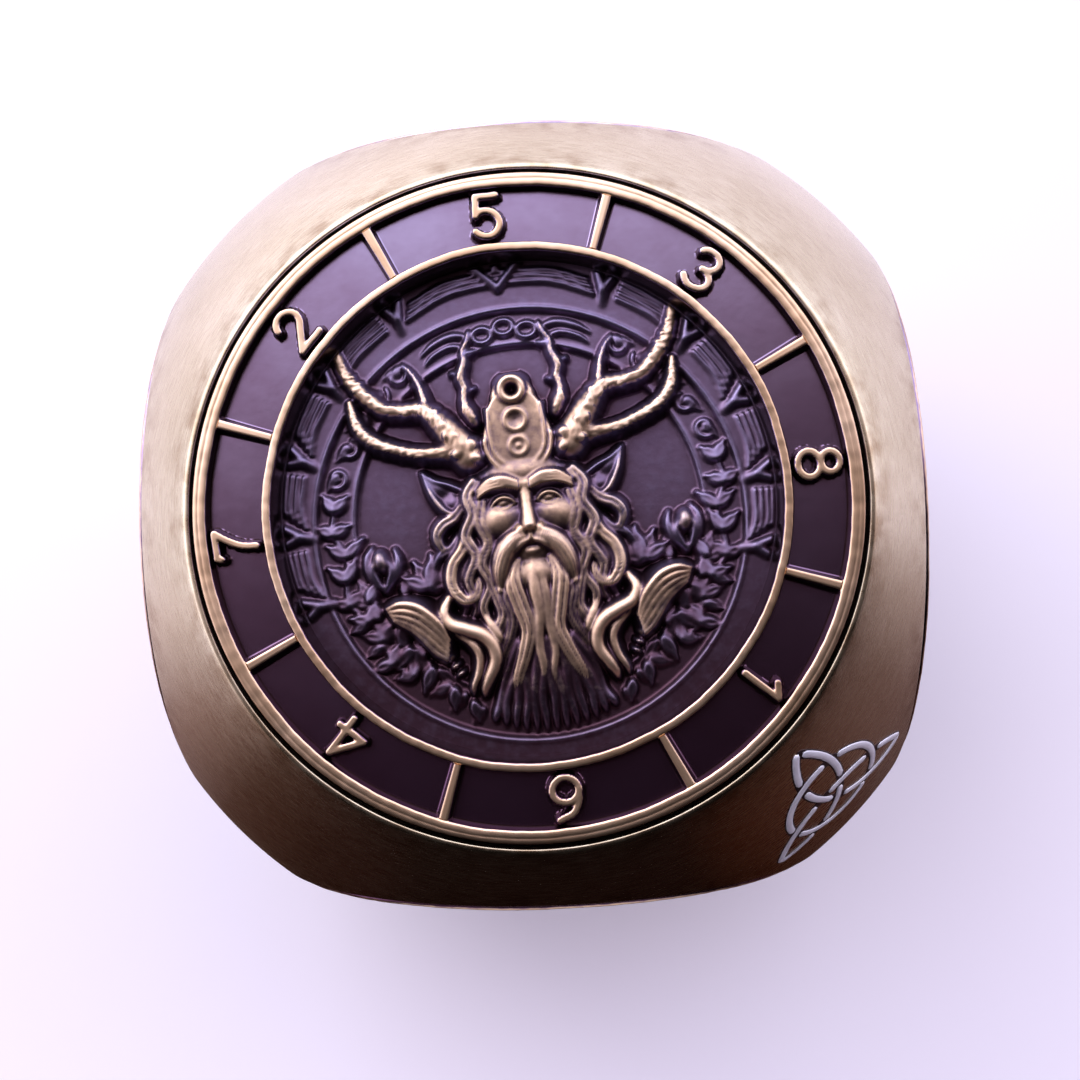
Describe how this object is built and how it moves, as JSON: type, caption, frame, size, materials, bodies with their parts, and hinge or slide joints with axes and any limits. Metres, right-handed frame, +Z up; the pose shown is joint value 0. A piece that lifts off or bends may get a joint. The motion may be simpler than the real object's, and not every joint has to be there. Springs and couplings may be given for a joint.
{
  "type": "spinning polyhedral die",
  "caption": "Rounded metal cube die with a spinning number disc on each face, turning on a small ball bearing.",
  "frame": {"origin": "centre of the die, where the six disc axes meet", "axes": "+Z up along the d8 disc's axis, -Y towards the d20 disc, +X towards the d10 disc"},
  "size_m": [0.0356, 0.0356, 0.0356],
  "materials": {
    "antique_brass": "satin",
    "cast_brass": "satin",
    "bearing_steel": "polished",
    "shield_steel": "satin"
  },
  "bodies": {
    "die_body": {"body": "antique_brass", "d8_bearing_outer_ring": "bearing_steel", "d8_bearing_front_shield": "shield_steel", "d8_bearing_rear_shield": "shield_steel", "d20_bearing_outer_ring": "bearing_steel", "d20_bearing_front_shield": "shield_steel", "d20_bearing_rear_shield": "shield_steel", "d10_bearing_outer_ring": "bearing_steel", "d10_bearing_front_shield": "shield_steel", "d10_bearing_rear_shield": "shield_steel", "d6_bearing_outer_ring": "bearing_steel", "d6_bearing_front_shield": "shield_steel", "d6_bearing_rear_shield": "shield_steel", "d12_bearing_outer_ring": "bearing_steel", "d12_bearing_front_shield": "shield_steel", "d12_bearing_rear_shield": "shield_steel", "d4_bearing_outer_ring": "bearing_steel", "d4_bearing_front_shield": "shield_steel", "d4_bearing_rear_shield": "shield_steel"},
    "disc_d8": {"spinner_d8": "cast_brass", "d8_bearing_inner_ring": "bearing_steel"},
    "disc_d20": {"spinner_d20": "cast_brass", "d20_bearing_inner_ring": "bearing_steel"},
    "disc_d10": {"spinner_d10": "cast_brass", "d10_bearing_inner_ring": "bearing_steel"},
    "disc_d6": {"spinner_d6": "cast_brass", "d6_bearing_inner_ring": "bearing_steel"},
    "disc_d12": {"spinner_d12": "cast_brass", "d12_bearing_inner_ring": "bearing_steel"},
    "disc_d4": {"spinner_d4": "cast_brass", "d4_bearing_inner_ring": "bearing_steel"},
    "cage_d8": {"d8_bearing_cage": "bearing_steel"},
    "cage_d20": {"d20_bearing_cage": "bearing_steel"},
    "cage_d10": {"d10_bearing_cage": "bearing_steel"},
    "cage_d6": {"d6_bearing_cage": "bearing_steel"},
    "cage_d12": {"d12_bearing_cage": "bearing_steel"},
    "cage_d4": {"d4_bearing_cage": "bearing_steel"}
  },
  "joints": [
    {"name": "d8_spin", "type": "hinge", "parent": "die_body", "child": "disc_d8", "pos_m": [0, 0, 0], "axis": [0, 0, 1], "continuous": true},
    {"name": "d20_spin", "type": "hinge", "parent": "die_body", "child": "disc_d20", "pos_m": [0, 0, 0], "axis": [0, -1, 0], "continuous": true},
    {"name": "d10_spin", "type": "hinge", "parent": "die_body", "child": "disc_d10", "pos_m": [0, 0, 0], "axis": [1, 0, 0], "continuous": true},
    {"name": "d6_spin", "type": "hinge", "parent": "die_body", "child": "disc_d6", "pos_m": [0, 0, 0], "axis": [0, 1, 0], "continuous": true},
    {"name": "d12_spin", "type": "hinge", "parent": "die_body", "child": "disc_d12", "pos_m": [0, 0, 0], "axis": [-1, 0, 0], "continuous": true},
    {"name": "d4_spin", "type": "hinge", "parent": "die_body", "child": "disc_d4", "pos_m": [0, 0, 0], "axis": [0, 0, -1], "continuous": true},
    {"name": "d8_cage_spin", "type": "hinge", "parent": "die_body", "child": "cage_d8", "pos_m": [0, 0, 0], "axis": [0, 0, 1], "continuous": true},
    {"name": "d20_cage_spin", "type": "hinge", "parent": "die_body", "child": "cage_d20", "pos_m": [0, 0, 0], "axis": [0, -1, 0], "continuous": true},
    {"name": "d10_cage_spin", "type": "hinge", "parent": "die_body", "child": "cage_d10", "pos_m": [0, 0, 0], "axis": [1, 0, 0], "continuous": true},
    {"name": "d6_cage_spin", "type": "hinge", "parent": "die_body", "child": "cage_d6", "pos_m": [0, 0, 0], "axis": [0, 1, 0], "continuous": true},
    {"name": "d12_cage_spin", "type": "hinge", "parent": "die_body", "child": "cage_d12", "pos_m": [0, 0, 0], "axis": [-1, 0, 0], "continuous": true},
    {"name": "d4_cage_spin", "type": "hinge", "parent": "die_body", "child": "cage_d4", "pos_m": [0, 0, 0], "axis": [0, 0, -1], "continuous": true}
  ],
  "couplings": [
    {"joint": "d8_cage_spin", "follows": "d8_spin", "ratio": 0.4166},
    {"joint": "d20_cage_spin", "follows": "d20_spin", "ratio": 0.4166},
    {"joint": "d10_cage_spin", "follows": "d10_spin", "ratio": 0.4166},
    {"joint": "d6_cage_spin", "follows": "d6_spin", "ratio": 0.4166},
    {"joint": "d12_cage_spin", "follows": "d12_spin", "ratio": 0.4166},
    {"joint": "d4_cage_spin", "follows": "d4_spin", "ratio": 0.4166}
  ]
}
